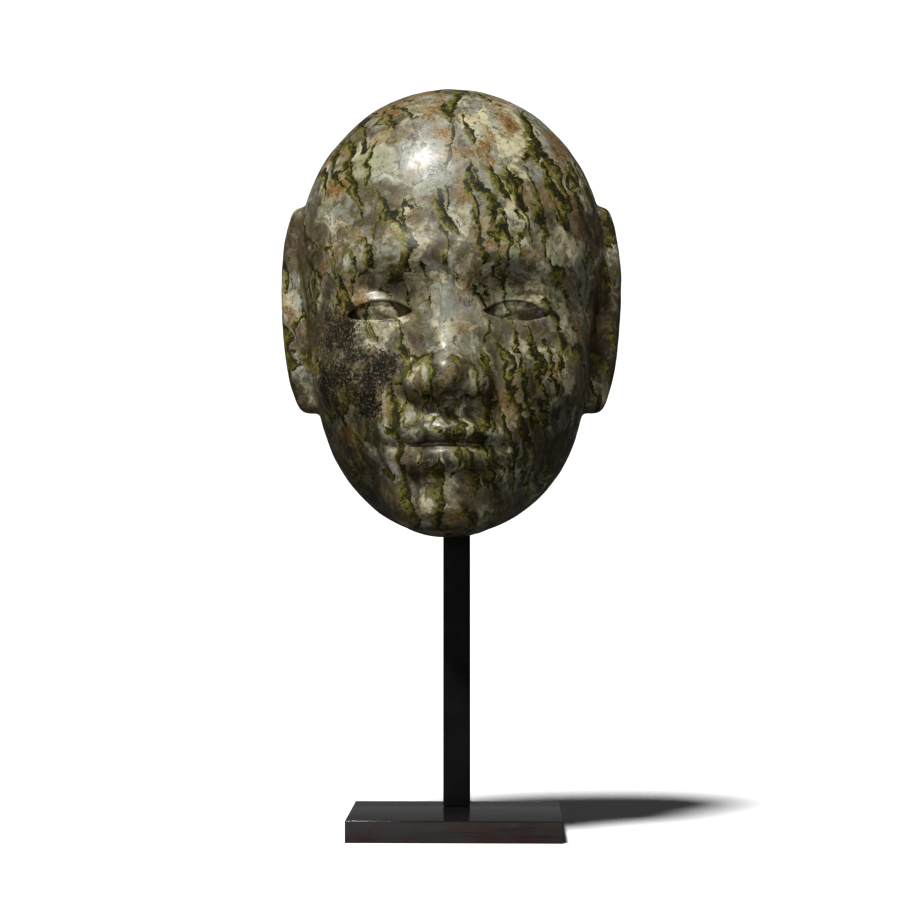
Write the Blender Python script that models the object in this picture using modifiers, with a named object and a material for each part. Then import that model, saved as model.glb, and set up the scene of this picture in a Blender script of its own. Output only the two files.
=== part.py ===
"""A carved greenstone mask, hollowed behind, that hangs on a square steel post with a flat steel foot.

Metres, +Z up. The mask looks along -Y. The origin is the middle of the foot's underside.
"""

import math

import bpy
from mathutils import Vector

# Driving dimensions of the mask
MASK_HEIGHT = 0.168
HEAD_WIDTH = 0.1146
HEAD_DEPTH = 0.0600
RIM_WALL = 0.0120
FACE_WALL = 0.0265
EAR_REACH = 0.0074
EAR_THICKNESS = 0.0100
EAR_HEIGHT = 0.0780
RIM_LEAN = 0.10

# Driving dimensions of the stand
FOOT_WIDTH = 0.078
FOOT_DEPTH = 0.060
FOOT_HEIGHT = 0.008
FOOT_EDGE = 0.0004
POST_WIDTH = 0.010
POST_DEPTH = 0.010
POST_EDGE = 0.0006
POST_SETBACK = 0.044
CHIN_ABOVE_FOOT = 0.1015

# The mask hangs this far to the right of the post's middle, so a value below 0 is to the left
MASK_ASIDE = -0.0020

# Clearance left wherever two pieces touch, and the wider one between the post's end and the curved roof
TOUCH_GAP = 0.0003
ROOF_GAP = 0.0006

# The carving is laid out on a pattern 100 units high: x to the right, y backwards from the middle of the
# rim, z up from the chin. These are the pattern's own width and depth of head.
PATTERN_HEIGHT = 100.0
PATTERN_WIDTH = 68.2
PATTERN_DEPTH = 35.6
RIM_LEVEL = 49.0

# Middle and half sizes of the two eggs that make up the head, and how softly they flow together
CRANIUM_MIDDLE = (0, -4.9, 63.2)
CRANIUM_RADII = (34.1, 30.7, 36.8)
JAW_MIDDLE = (0, -5.5, 33.0)
JAW_RADII = (29.6, 27.0, 33.0)
HEAD_BLEND = 18.0

# Rounds off the crease that the mirrored halves would leave down the middle of the face
MIDLINE_ROUNDING = 0.8

# Where each ear's flange starts inside the head, how far forward it sits, and the level of its middle
EAR_ROOT = 27.5
EAR_SETTING = -5.5
EAR_LEVEL = 50.5

# Chips on the rim of the jaw, as (sideways, up)
JAW_CHIPS = ((21.8, 3.5), (28.6, 12.0), (32.7, 21.5), (-25.2, 7.5), (-31.4, 17.5))

# Fineness of the carving and of the faceted solid
GRAIN = 0.00125
MASK_TRIANGLES = 8600

GREENSTONE = ((0.17, 0.18, 0.11, 1), 0.25, 0.0)
BLACKENED_STEEL = ((0.020, 0.019, 0.018, 1), 0.35, 1.0)
BROWNED_STEEL = ((0.045, 0.040, 0.037, 1), 0.45, 1.0)


def pattern_unit():
    """Size of one pattern unit along x, y and z, in metres."""
    return Vector((HEAD_WIDTH / PATTERN_WIDTH, HEAD_DEPTH / PATTERN_DEPTH, MASK_HEIGHT / PATTERN_HEIGHT))


def rim_at(level):
    """Where the leaning plane of the rim lies at a height on the pattern."""
    return RIM_LEAN * (level - RIM_LEVEL)


def post_front():
    return POST_SETBACK - FOOT_DEPTH / 2


def mask_origin():
    """The pattern's origin in space. The chin's back edge leans on the front of the post."""
    unit = pattern_unit()
    chin_wall_top = RIM_WALL / unit.z
    return Vector((
        MASK_ASIDE,
        post_front() - TOUCH_GAP - rim_at(chin_wall_top) * unit.y,
        FOOT_HEIGHT + CHIN_ABOVE_FOOT,
    ))


def hollow_eggs():
    """Middle and half sizes of the two eggs of the hollow: the head's, less the thickness of the wall."""
    unit = pattern_unit()
    side, upright = RIM_WALL / unit.x, RIM_WALL / unit.z
    face = FACE_WALL / unit.y
    eggs = []
    for middle, radii in ((CRANIUM_MIDDLE, CRANIUM_RADII), (JAW_MIDDLE, JAW_RADII)):
        front = middle[1] - radii[1] + face
        hollow_middle = (0, 0, middle[2])
        eggs.append((hollow_middle, (radii[0] - side, -front, radii[2] - upright)))
    return eggs


class Carving:
    """Distances to a surface on the pattern, below 0 inside the stone, worked out by geometry nodes."""

    def __init__(self, name):
        self.tree = bpy.data.node_groups.new(name, "GeometryNodeTree")
        self.tree.interface.new_socket("Geometry", in_out="OUTPUT", socket_type="NodeSocketGeometry")
        place = self.node("GeometryNodeInputPosition").outputs[0]
        place = self.vector("SUBTRACT", place, mask_origin())
        self.place = self.vector("DIVIDE", place, pattern_unit())
        self.x, self.y, self.z = self.split(self.place)
        squared = self.number("MULTIPLY", self.x, self.x)
        sideways = self.number("SQRT", self.number("ADD", squared, MIDLINE_ROUNDING))
        self.either_side = self.combine(sideways, self.y, self.z)

    def node(self, kind, **settings):
        made = self.tree.nodes.new(kind)
        for name, value in settings.items():
            setattr(made, name, value)
        return made

    def feed(self, made, *values):
        """Links or sets the inputs of a node in order."""
        for socket, value in zip(made.inputs, values):
            if isinstance(value, bpy.types.NodeSocket):
                self.tree.links.new(value, socket)
            else:
                socket.default_value = value
        return made

    def number(self, operation, *values):
        return self.feed(self.node("ShaderNodeMath", operation=operation), *values).outputs[0]

    def vector(self, operation, *values):
        made = self.feed(self.node("ShaderNodeVectorMath", operation=operation), *values)
        return made.outputs["Value" if operation in ("LENGTH", "DOT_PRODUCT") else "Vector"]

    def split(self, place):
        return self.feed(self.node("ShaderNodeSeparateXYZ"), place).outputs[:3]

    def combine(self, *values):
        return self.feed(self.node("ShaderNodeCombineXYZ"), *values).outputs[0]

    def local(self, place, middle, turn=(0, 0, 0)):
        """The place as seen from a middle, along axes turned by these degrees."""
        seen = self.vector("SUBTRACT", place, middle)
        if not any(turn):
            return seen
        turned = self.node("ShaderNodeVectorRotate", rotation_type="EULER_XYZ", invert=True)
        self.tree.links.new(seen, turned.inputs["Vector"])
        turned.inputs["Rotation"].default_value = [math.radians(angle) for angle in turn]
        return turned.outputs[0]

    def egg(self, place, middle, radii, turn=(0, 0, 0)):
        """An ellipsoid."""
        seen = self.local(place, middle, turn)
        nearest = 0.001
        reach = self.vector("LENGTH", self.vector("DIVIDE", seen, radii))
        reach = self.number("MAXIMUM", reach, nearest)
        slope = self.vector("LENGTH", self.vector("DIVIDE", seen, [radius * radius for radius in radii]))
        slope = self.number("MAXIMUM", slope, nearest / max(radii))
        beyond = self.number("SUBTRACT", reach, 1.0)
        return self.number("DIVIDE", self.number("MULTIPLY", reach, beyond), slope)

    def slab(self, place, middle, halves, rounding, turn=(0, 0, 0)):
        """A box with rounded edges."""
        seen = self.vector("ABSOLUTE", self.local(place, middle, turn))
        beyond = self.vector("SUBTRACT", seen, [half - rounding for half in halves])
        x, y, z = self.split(beyond)
        inside = self.number("MINIMUM", self.number("MAXIMUM", x, self.number("MAXIMUM", y, z)), 0.0)
        outside = self.vector("LENGTH", self.vector("MAXIMUM", beyond, (0, 0, 0)))
        return self.number("SUBTRACT", self.number("ADD", outside, inside), rounding)

    def drum(self, place, middle, radius):
        """An endless cylinder that lies along y."""
        seen = self.vector("MULTIPLY", self.local(place, middle), (1, 0, 1))
        return self.number("SUBTRACT", self.vector("LENGTH", seen), radius)

    def almond(self, place, middle, half_width, rise, fall, turn):
        """The space between two arcs that meet in the corners of an eye."""
        seen = self.local(place, middle, turn)
        upper = (half_width**2 + rise**2) / (2 * rise)
        lower = (half_width**2 + fall**2) / (2 * fall)
        below_the_upper = self.drum(seen, (0, 0, rise - upper), upper)
        above_the_lower = self.drum(seen, (0, 0, lower - fall), lower)
        return self.common(below_the_upper, above_the_lower, blend=0.2)

    def join(self, stone, more, blend):
        return self.number("SMOOTH_MIN", stone, more, blend)

    def cut(self, stone, tool, blend):
        return self.number("SMOOTH_MAX", stone, self.number("MULTIPLY", tool, -1.0), blend)

    def common(self, one, other, blend):
        return self.number("SMOOTH_MAX", one, other, blend)

    def surface(self, stone, lowest, highest, grain):
        """The mesh where the distance is 0, on a grid of cells of this size between two corners of space."""
        softness = 6 * grain / pattern_unit().z
        filled = self.number("SUBTRACT", 0.5, self.number("DIVIDE", stone, softness))
        filled = self.feed(self.node("ShaderNodeClamp"), filled).outputs[0]
        block = self.node("GeometryNodeVolumeCube")
        self.tree.links.new(filled, block.inputs["Density"])
        block.inputs["Min"].default_value = lowest
        block.inputs["Max"].default_value = highest
        for axis, side in zip("XYZ", highest - lowest):
            block.inputs[f"Resolution {axis}"].default_value = math.ceil(side / grain)
        mesh = self.node("GeometryNodeVolumeToMesh", resolution_mode="GRID")
        self.tree.links.new(block.outputs[0], mesh.inputs["Volume"])
        mesh.inputs["Threshold"].default_value = 0.5
        self.feed(self.node("NodeGroupOutput"), mesh.outputs[0])
        return self.tree


def carve_head(carving):
    cranium = carving.egg(carving.place, CRANIUM_MIDDLE, CRANIUM_RADII)
    jaw = carving.egg(carving.place, JAW_MIDDLE, JAW_RADII)
    return carving.join(cranium, jaw, HEAD_BLEND)


def carve_brows_and_cheeks(carving, stone):
    sides = carving.either_side
    brow = carving.egg(sides, middle=(12.6, -27.4, 59.6), radii=(14.5, 5.6, 3.8), turn=(0, 6, 31))
    stone = carving.join(stone, brow, blend=7)
    socket = carving.egg(sides, middle=(14.4, -36.6, 51.2), radii=(9.4, 8.2, 5.6), turn=(0, 2, 16))
    stone = carving.cut(stone, socket, blend=6)
    cheek = carving.egg(sides, middle=(18.4, -18.8, 36.6), radii=(10.6, 9.4, 10.0), turn=(0, 0, 25))
    return carving.join(stone, cheek, blend=10)


def carve_eyes(carving, stone):
    """Heavy lids over a rounded eye, which shows in an almond opening."""
    sides = carving.either_side
    middle, turn = (14.6, -22.6, 49.2), (0, 0, 15)
    lids, lid_thickness = (8.8, 8.0, 5.8), 1.1
    stone = carving.join(stone, carving.egg(sides, middle, lids, turn), blend=2)
    opening = carving.almond(sides, (14.6, 0, 47.9), half_width=7.2, rise=2.7, fall=1.5, turn=(0, 3, 0))
    eye = carving.egg(sides, middle, [radius - lid_thickness for radius in lids], turn)
    before_the_eye = carving.common(opening, carving.number("MULTIPLY", eye, -1.0), blend=0.3)
    front_half = carving.number("SUBTRACT", carving.y, middle[1])
    return carving.cut(stone, carving.common(before_the_eye, front_half, blend=0.3), blend=0.5)


def carve_nose(carving, stone):
    place, sides = carving.place, carving.either_side
    nose = carving.egg(place, middle=(0, -30.6, 43.6), radii=(4.3, 5.6, 16.6), turn=(-16, 0, 0))
    tip = carving.egg(place, middle=(0, -35.4, 34.6), radii=(5.3, 5.6, 4.9))
    wing = carving.egg(sides, middle=(5.3, -32.6, 33.1), radii=(3.9, 5.4, 4.0), turn=(0, 0, 20))
    nose = carving.join(nose, carving.join(tip, wing, blend=4.5), blend=4.5)
    underside = carving.number("SUBTRACT", 29.2, carving.z)
    stone = carving.join(stone, carving.common(nose, underside, blend=2.4), blend=4)
    nostril = carving.egg(sides, middle=(3.8, -35.0, 29.0), radii=(1.6, 2.1, 2.8), turn=(-22, 0, 14))
    return carving.cut(stone, nostril, blend=0.8)


def carve_mouth(carving, stone):
    """Full, closed lips that follow the curve of the teeth, with a dimple at each corner."""
    muzzle = carving.egg(carving.place, middle=(0, -21.6, 21.8), radii=(16.2, 13.6, 13.2))
    stone = carving.join(stone, muzzle, blend=7.4)
    droop, teeth = 0.007, 0.028
    squared = carving.number("MULTIPLY", carving.x, carving.x)
    bent = carving.combine(
        carving.x,
        carving.number("SUBTRACT", carving.y, carving.number("MULTIPLY", squared, teeth)),
        carving.number("ADD", carving.z, carving.number("MULTIPLY", squared, droop)),
    )
    upper_lip = carving.egg(bent, middle=(0, -33.6, 22.7), radii=(11.8, 4.3, 3.1))
    lower_lip = carving.egg(bent, middle=(0, -32.9, 17.0), radii=(10.2, 4.6, 3.6))
    stone = carving.join(stone, carving.join(upper_lip, lower_lip, blend=0.7), blend=2.2)
    groove = carving.egg(carving.place, middle=(0, -38.2, 27.4), radii=(1.7, 3.0, 3.2))
    stone = carving.cut(stone, groove, blend=1.6)
    slit = carving.egg(bent, middle=(0, -37.6, 20.0), radii=(10.8, 4.4, 0.6))
    stone = carving.cut(stone, slit, blend=0.8)
    sides = carving.either_side
    corner = carving.egg(sides, middle=(11.6, -32.4, 19.2), radii=(1.5, 3.0, 1.4), turn=(0, 0, -25))
    return carving.cut(stone, corner, blend=1.6)


def carve_chin(carving, stone):
    below_the_lip = carving.egg(carving.place, middle=(0, -38.2, 11.0), radii=(9.6, 5.2, 2.6))
    stone = carving.cut(stone, below_the_lip, blend=6)
    chin = carving.egg(carving.place, middle=(0, -22.2, 7.6), radii=(13.0, 10.4, 7.6))
    return carving.join(stone, chin, blend=9)


def carve_ears(carving, stone):
    """Plain flanges that sweep back from the sides of the head, each rooted well inside it."""
    unit = pattern_unit()
    reach, thick, high = EAR_REACH / unit.x, EAR_THICKNESS / unit.y, EAR_HEIGHT / unit.z
    half_width = CRANIUM_RADII[0] + reach - EAR_ROOT
    sides = carving.either_side
    middle = (EAR_ROOT + half_width / 2, EAR_SETTING, EAR_LEVEL)
    halves = (half_width / 2, thick / 2, high / 2)
    flange = carving.slab(sides, middle, halves, rounding=0.45 * thick, turn=(0, 3, 14))
    fullest = (EAR_ROOT, EAR_SETTING, EAR_LEVEL + 2)
    outline = carving.egg(sides, fullest, radii=(half_width, 13, 0.64 * high))
    return carving.join(stone, carving.common(flange, outline, blend=3), blend=1.6)


def carve_back(carving, stone):
    """The leaning rim, and the hollow inside it."""
    plane = carving.number("MULTIPLY", carving.number("SUBTRACT", carving.z, RIM_LEVEL), RIM_LEAN)
    stone = carving.common(stone, carving.number("SUBTRACT", carving.y, plane), blend=1.8)
    cranium, jaw = (carving.egg(carving.place, middle, radii) for middle, radii in hollow_eggs())
    return carving.cut(stone, carving.join(cranium, jaw, blend=16), blend=2.4)


def carve_chips(carving, stone):
    """Old knocks along the rim of the jaw."""
    for sideways, up in JAW_CHIPS:
        chip = carving.egg(carving.place, middle=(sideways, -1.5, up), radii=(4.0, 4.5, 4.2))
        stone = carving.cut(stone, chip, blend=0.8)
    return stone


def mask_corners():
    """Two corners of space around the whole mask, with room to spare."""
    unit, room = pattern_unit(), 0.006
    half = HEAD_WIDTH / 2 + EAR_REACH + room
    nose_reach, crown_rim = 45 * unit.y, rim_at(PATTERN_HEIGHT) * unit.y
    lowest = Vector((-half, -nose_reach - room, -room))
    highest = Vector((half, crown_rim + room, MASK_HEIGHT + room))
    return mask_origin() + lowest, mask_origin() + highest


def material(name, finish):
    colour, roughness, metallic = finish
    made = bpy.data.materials.new(name)
    made.use_nodes = True
    made.diffuse_color = colour
    shader = made.node_tree.nodes["Principled BSDF"]
    shader.inputs["Base Color"].default_value = colour
    shader.inputs["Roughness"].default_value = roughness
    shader.inputs["Metallic"].default_value = metallic
    return made


def add_to(collection, piece, finish):
    for holder in list(piece.users_collection):
        holder.objects.unlink(piece)
    collection.objects.link(piece)
    piece.data.materials.append(finish)
    return piece


def carved_stone(carving):
    stone = carve_head(carving)
    for carve in (
        carve_brows_and_cheeks,
        carve_eyes,
        carve_nose,
        carve_mouth,
        carve_chin,
        carve_ears,
        carve_back,
        carve_chips,
    ):
        stone = carve(carving, stone)
    return stone


def make_mask():
    """The mask is carved by nodes, then brought down to a light faceted solid."""
    carving = Carving("mask carving")
    stone = carved_stone(carving)
    lowest, highest = mask_corners()
    mask = bpy.data.objects.new("mask", bpy.data.meshes.new("mask"))
    bpy.context.scene.collection.objects.link(mask)
    carved = mask.modifiers.new("Carving", "NODES")
    carved.node_group = carving.surface(stone, lowest, highest, GRAIN)
    graph = bpy.context.evaluated_depsgraph_get()
    mask.data = bpy.data.meshes.new_from_object(mask.evaluated_get(graph))
    mask.modifiers.clear()
    corners = sum(len(face.vertices) for face in mask.data.polygons)
    triangles = corners - 2 * len(mask.data.polygons)
    lighter = mask.modifiers.new("Fewer faces", "DECIMATE")
    lighter.ratio = min(1.0, MASK_TRIANGLES / triangles)
    return mask


def bevelled_bar(name, low, high, edge):
    """A bar between two corners, with its edges eased."""
    low, high = Vector(low), Vector(high)
    bpy.ops.mesh.primitive_cube_add(size=1, location=(low + high) / 2)
    bar = bpy.context.active_object
    bar.name = bar.data.name = name
    bar.scale = high - low
    bpy.ops.object.transform_apply(location=False, rotation=False, scale=True)
    eased = bar.modifiers.new("Eased edges", "BEVEL")
    eased.width = edge
    eased.segments = 2
    return bar


def roof_height(sideways, back):
    """Height of the hollow's roof above a place on the floor, in metres."""
    unit, origin = pattern_unit(), mask_origin()
    middle, radii = hollow_eggs()[0]
    across = (sideways - origin.x) / unit.x / radii[0]
    along = ((back - origin.y) / unit.y - middle[1]) / radii[1]
    return origin.z + (middle[2] + radii[2] * math.sqrt(1 - across**2 - along**2)) * unit.z


def make_foot():
    low = (-FOOT_WIDTH / 2, -FOOT_DEPTH / 2, 0)
    high = (FOOT_WIDTH / 2, FOOT_DEPTH / 2, FOOT_HEIGHT)
    return bevelled_bar("foot", low, high, FOOT_EDGE)


def make_post():
    """The post stands on the foot and reaches up inside the mask to the lowest corner of its roof."""
    left, right = -POST_WIDTH / 2, POST_WIDTH / 2
    front, back = post_front(), post_front() + POST_DEPTH
    roof = min(roof_height(side, end) for side in (left, right) for end in (front, back))
    low = (left, front, FOOT_HEIGHT + TOUCH_GAP)
    high = (right, back, roof - ROOF_GAP)
    return bevelled_bar("post", low, high, POST_EDGE)


def main():
    for leftover in list(bpy.data.objects):
        bpy.data.objects.remove(leftover)
    collection = bpy.data.collections.new("Mask on its stand")
    bpy.context.scene.collection.children.link(collection)
    mask = add_to(collection, make_mask(), material("Greenstone", GREENSTONE))
    mask.data.shade_smooth()
    add_to(collection, make_post(), material("Blackened steel", BLACKENED_STEEL))
    add_to(collection, make_foot(), material("Browned steel", BROWNED_STEEL))


main()
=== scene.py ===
"""A carved greenstone mask that hangs on a square steel post with a flat steel foot.

Metres, +Z up, the mask looks along -Y. The floor is at z = 0.
"""

import math

import bpy
from bpy.props import FloatProperty, FloatVectorProperty, IntProperty, PointerProperty
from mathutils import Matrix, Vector


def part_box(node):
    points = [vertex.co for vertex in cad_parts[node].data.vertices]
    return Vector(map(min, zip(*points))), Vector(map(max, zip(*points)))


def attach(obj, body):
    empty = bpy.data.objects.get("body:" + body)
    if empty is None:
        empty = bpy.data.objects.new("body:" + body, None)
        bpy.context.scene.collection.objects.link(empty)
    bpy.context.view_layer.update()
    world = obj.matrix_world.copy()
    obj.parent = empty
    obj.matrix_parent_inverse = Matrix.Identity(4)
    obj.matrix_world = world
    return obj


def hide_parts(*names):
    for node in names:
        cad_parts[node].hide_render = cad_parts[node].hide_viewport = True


bl_info = {
    "name": "Greenstone Mask on a Stand",
    "version": (1, 0, 0),
    "blender": (4, 5, 0),
    "location": "3D View > Sidebar > Mask",
    "description": "Carves a streaked greenstone mask and makes the steel stand on which it hangs",
    "category": "Add Mesh",
}

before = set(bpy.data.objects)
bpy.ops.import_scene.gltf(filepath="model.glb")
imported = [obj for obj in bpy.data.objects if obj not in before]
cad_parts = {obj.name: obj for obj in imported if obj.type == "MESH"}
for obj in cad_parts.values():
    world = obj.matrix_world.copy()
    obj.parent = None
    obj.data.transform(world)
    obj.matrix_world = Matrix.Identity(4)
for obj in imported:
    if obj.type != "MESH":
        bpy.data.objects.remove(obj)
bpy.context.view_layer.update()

# The carving is laid out on a pattern 100 units high: x to the right, y backwards from the middle of the
# rim, z up from the chin. These are the pattern's own width and depth of head.
PATTERN_HEIGHT = 100.0
PATTERN_WIDTH = 68.2
PATTERN_DEPTH = 35.6
RIM_LEVEL = 49.0

# Middle and half sizes of the two eggs that make up the head, and how softly they flow together
CRANIUM_MIDDLE = (0, -4.9, 63.2)
CRANIUM_RADII = (34.1, 30.7, 36.8)
JAW_MIDDLE = (0, -5.5, 33.0)
JAW_RADII = (29.6, 27.0, 33.0)
HEAD_BLEND = 18.0

# Rounds off the crease that the mirrored halves would leave down the middle of the face
MIDLINE_ROUNDING = 0.8

# Where each ear's flange starts inside the head, how far forward it sits, and the level of its middle
EAR_ROOT = 27.5
EAR_SETTING = -5.5
EAR_LEVEL = 50.5

# Chips on the rim of the jaw, as (sideways, up)
JAW_CHIPS = ((21.8, 3.5), (28.6, 12.0), (32.7, 21.5), (-25.2, 7.5), (-31.4, 17.5))

# Patches where the polish has gone and the stone is pitted and black, as (sideways, up, radius)
WEATHERED_PATCHES = (
    (-20.4, 35.5, 7.0), (-14.4, 35.7, 5.0), (-23.8, 43.6, 6.0), (-17.0, 29.0, 4.0), (-25.0, 33.0, 4.0),
)

# Long veins across the forehead, each as (sideways, up) of its top, the same of its foot, and its width
VEINS = (
    ((3.4, 100.5), (0.2, 87.0), 2.6),
    ((0.2, 89.0), (-1.4, 77.0), 1.0),
    ((-13.8, 95.0), (-12.4, 86.5), 2.2),
    ((-17.6, 95.0), (-21.5, 87.5), 2.4),
    ((-20.6, 88.0), (-18.0, 70.0), 2.2),
    ((-24.4, 85.5), (-22.0, 74.0), 1.6),
    ((-14.6, 85.0), (-17.0, 76.0), 1.4),
    ((3.9, 92.0), (6.3, 83.0), 1.8),
    ((17.4, 95.5), (19.8, 79.0), 2.4),
    ((9.8, 80.5), (12.8, 71.0), 2.8),
    ((13.6, 80.0), (17.0, 70.0), 3.2),
    ((20.2, 81.0), (25.8, 71.0), 1.4),
    ((4.4, 79.5), (8.4, 72.0), 2.0),
    ((-2.4, 75.0), (1.6, 64.0), 3.4),
    ((25.4, 83.0), (28.4, 74.0), 1.2),
)

# Scratches on the forehead, each from end to end
SCRATCHES = (
    ((-6.6, 85.4), (-5.7, 84.3)),
    ((-6.3, 84.0), (-4.6, 83.1)),
    ((-4.7, 83.7), (-7.0, 82.2)),
    ((-9.4, 86.6), (-9.1, 85.3)),
)

# Iron stains, as (sideways, up, radius)
IRON_STAINS = (
    (-5.4, 94.5, 6.0), (9.5, 97.0, 5.5), (13.0, 89.5, 3.5), (8.6, 85.6, 2.4), (24.0, 80.5, 5.0),
    (4.2, 73.5, 4.0), (-25.0, 78.0, 3.0), (-21.0, 51.5, 4.5), (-10.6, 28.0, 3.2), (-21.0, 29.5, 3.5),
    (-22.0, 21.5, 2.6), (14.0, 28.5, 2.4), (26.0, 72.0, 4.0), (23.5, 87.0, 3.0), (-12.0, 94.5, 4.0),
)

# Clear stone without streaks, and stone that is creamy or grey all over, as (sideways, up, radius)
CLEAR_STONE = ((-4.5, 82.5, 9.0), (10.5, 88.0, 9.0), (-14.5, 81.0, 5.0), (-36.0, 52.0, 4.0), (2.0, 46.0, 8.0))
CREAMY_STONE = ((11.0, 88.5, 9.0), (-36.0, 52.0, 4.0), (3.0, 44.0, 6.0))
GREY_STONE = ((-4.5, 81.5, 8.5), (4.0, 80.5, 5.0), (-4.0, 72.0, 4.0))

# Darker stone, and painted shade on the right ear where the head shadows it, as (sideways, up, radius)
DARK_STONE_AND_PAINTED_SHADE = (
    (38.0, 52.0, 8.0), (38.0, 40.0, 8.0), (32.0, 68.0, 6.0), (-37.0, 33.0, 6.0), (-37.0, 66.0, 5.0),
    (-21.0, 17.0, 6.0), (-31.0, 62.0, 5.0), (-29.0, 44.0, 6.0), (24.0, 18.0, 6.0), (-14.0, 7.0, 5.0),
    (-38.0, 42.0, 4.0),
)

# How the stone's pattern was swirled, as (size of the swirls, how far they push) in metres
STONE_SWIRLS = ((0.021, 0.0050), (0.0062, 0.0028), (0.0019, 0.0013), (0.0007, 0.0006))

# Sizes in the stone's pattern, in metres
LUMP = 0.0098
LONG_STREAK = 0.0088
SHORT_STREAK = 0.0054
CROWD = 0.030
SMEAR = 0.0040
DUSKY_CLOUD = 0.015
IRON_CLOUD = 0.0125
BROAD_CLOUD = 0.0075
SMALL_CLOUD = 0.0036
SPECK = 0.0021
GRAIN = 0.0012
MOTTLE = 0.0008

# The height about which the beds of the stone lean, in metres
BEDDING_LEVEL = 0.19

# Sizes in the steel's finish, in metres
BRUSHING = 0.0012
PATINA_CLOUD = 0.012
PATINA_SWIRL = 0.004

# Steps in an eased edge of the stand, and the angle below which faces are shaded as one
EDGE_STEPS = 4
SHADED_AS_ONE = math.radians(40)

# Voxels over which the stone's density falls away at its surface
SURFACE_VOXELS = 6

# Waves left by hand polishing, as (how long, how deep) in units of the pattern
POLISH_WAVES = ((13.0, 0.20), (4.0, 0.06))

# How wide and deep the pits of the worn patch and the marks of the hammer in the hollow are, in units
PIT_WIDTH, PIT_DEPTH = 1.0, 0.12
HAMMER_WIDTH, HAMMER_DEPTH = 2.6, 0.35

# Middle and size of the card that the foot mirrors, and the side of the floor, in metres
CARD_MIDDLE = (0, 1.4, 0.5)
CARD_SIZE = (4, 1, 1)
FLOOR_SIDE = 80


def length(name, description, default):
    return FloatProperty(name=name, description=description, default=default, min=0.0, unit="LENGTH")


def colour(name, description, default):
    return FloatVectorProperty(
        name=name, description=description, default=default, min=0.0, max=1.0, size=3, subtype="COLOR"
    )


def strength(name, description, default):
    return FloatProperty(name=name, description=description, default=default, min=0.0)


def direction(name, description, default):
    return FloatVectorProperty(name=name, description=description, default=default, size=3, subtype="XYZ")


class MaskSizes(bpy.types.PropertyGroup):
    """Sizes of the stone."""

    height: length("Height", "From the chin to the crown", 0.168)
    head_width: length("Head width", "Across the temples, without the ears", 0.1146)
    head_depth: length("Head depth", "From the rim to the brow", 0.0600)
    rim_wall: length("Rim", "Thickness of the wall at the rim", 0.0120)
    face_wall: length("Face wall", "Thickness of the stone behind the face", 0.0265)
    ear_reach: length("Ear reach", "How far an ear stands out from the head", 0.0074)
    ear_thickness: length("Ear thickness", "Thickness of an ear's flange", 0.0100)
    ear_height: length("Ear height", "Height of an ear's flange", 0.0780)
    rim_lean: FloatProperty(name="Rim lean", description="Backward lean of the rim's plane", default=0.10)
    grain: length("Grain", "Fineness of the carving", 0.00062)
    triangles: IntProperty(name="Triangles", description="Most triangles left in the stone", default=190000)


class StoneColours(bpy.types.PropertyGroup):
    """Colours of the stone."""

    pale: colour("Pale", "Grey-green lumps", (0.315, 0.320, 0.200))
    grey: colour("Grey", "Cool grey lumps", (0.245, 0.250, 0.205))
    cream: colour("Cream", "Yellowish lumps", (0.530, 0.485, 0.320))
    milk: colour("Milk", "Cloudy whitish stone", (0.530, 0.530, 0.430))
    # Dusk and umber also darken the listed darker patches, which include painted shade on the right ear
    dun: colour("Dun", "Clouds inside the lumps", (0.160, 0.132, 0.066))
    umber: colour("Umber", "Hairlines and fine mottling", (0.056, 0.039, 0.017))
    dusk: colour("Dusk", "Broad darker clouds", (0.078, 0.060, 0.032))
    tan: colour("Tan", "Pale iron stains", (0.300, 0.218, 0.108))
    rust: colour("Rust", "Grains of iron in the stains", (0.170, 0.080, 0.018))
    moss: colour("Moss", "Haze round the streaks", (0.200, 0.178, 0.038))
    olive: colour("Olive", "Soft side of the streaks", (0.088, 0.081, 0.010))
    deep: colour("Deep green", "Sharp side of the streaks", (0.010, 0.012, 0.006))
    soot: colour("Soot", "Black worn patches", (0.009, 0.009, 0.007))
    dust: colour("Dust", "Old dust in the hollow", (0.24, 0.20, 0.13))


class StandSizes(bpy.types.PropertyGroup):
    """Sizes of the steel stand that the frame doesn't give."""

    touch_gap: length("Touch gap", "Play between the chin and the post", 0.0003)
    mask_aside: FloatProperty(
        name="Mask aside", description="How far the mask hangs to the right", default=-0.0020, unit="LENGTH"
    )
    chin_above_foot: length("Chin height", "From the top of the foot to the chin", 0.1015)
    post_edge: length("Post edge", "Radius of the post's edges", 0.0006)
    foot_edge: length("Foot edge", "Radius of the foot's edges", 0.00030)


class SteelColours(bpy.types.PropertyGroup):
    """Colours of the stand."""

    black: colour("Black", "Patina of the post", (0.0130, 0.0120, 0.0117))
    jet: colour("Jet", "Clouds and brushing on the post", (0.0075, 0.0070, 0.0068))
    brown: colour("Brown", "Patina of the foot", (0.050, 0.045, 0.044))
    red: colour("Red", "Red-brown bloom on the foot", (0.052, 0.033, 0.030))
    scuffed: colour("Scuffed", "Brushing on the foot", (0.022, 0.020, 0.020))
    rusted: colour("Rusted", "Lowest edge of the foot", (0.085, 0.030, 0.022))


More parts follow.
